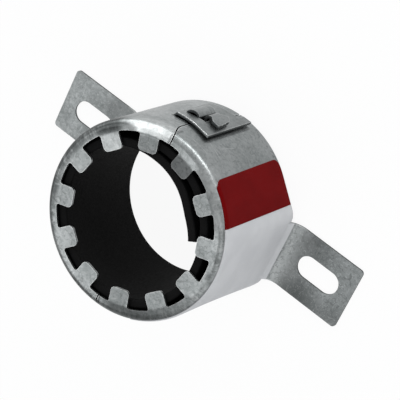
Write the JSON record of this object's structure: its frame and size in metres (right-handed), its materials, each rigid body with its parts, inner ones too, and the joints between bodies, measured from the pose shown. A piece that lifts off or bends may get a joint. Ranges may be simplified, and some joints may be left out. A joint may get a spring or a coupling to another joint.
{
  "type": "pipe fire collar",
  "caption": "Round sheet-steel pipe fire collar in two hooked half shells, with a toothed front flange, slotted wall lugs and a black wound lining.",
  "frame": {"origin": "on the pipe axis in the plane of the wall, at the middle of the lugs' back faces", "axes": "+Z along the pipe axis out of the wall towards the toothed front, +X through the lug of the labelled half, +Y towards the upper seam"},
  "size_m": [0.14, 0.0806, 0.052],
  "materials": {
    "galvanised_steel": "satin",
    "intumescent": "matte",
    "label_paper": "satin",
    "label_red": "satin"
  },
  "bodies": {
    "root": {"shell_right": "galvanised_steel", "shell_left": "galvanised_steel", "lining_outer": "intumescent", "lining_inner": "intumescent", "label": "label_paper", "label_header": "label_red"}
  },
  "joints": []
}
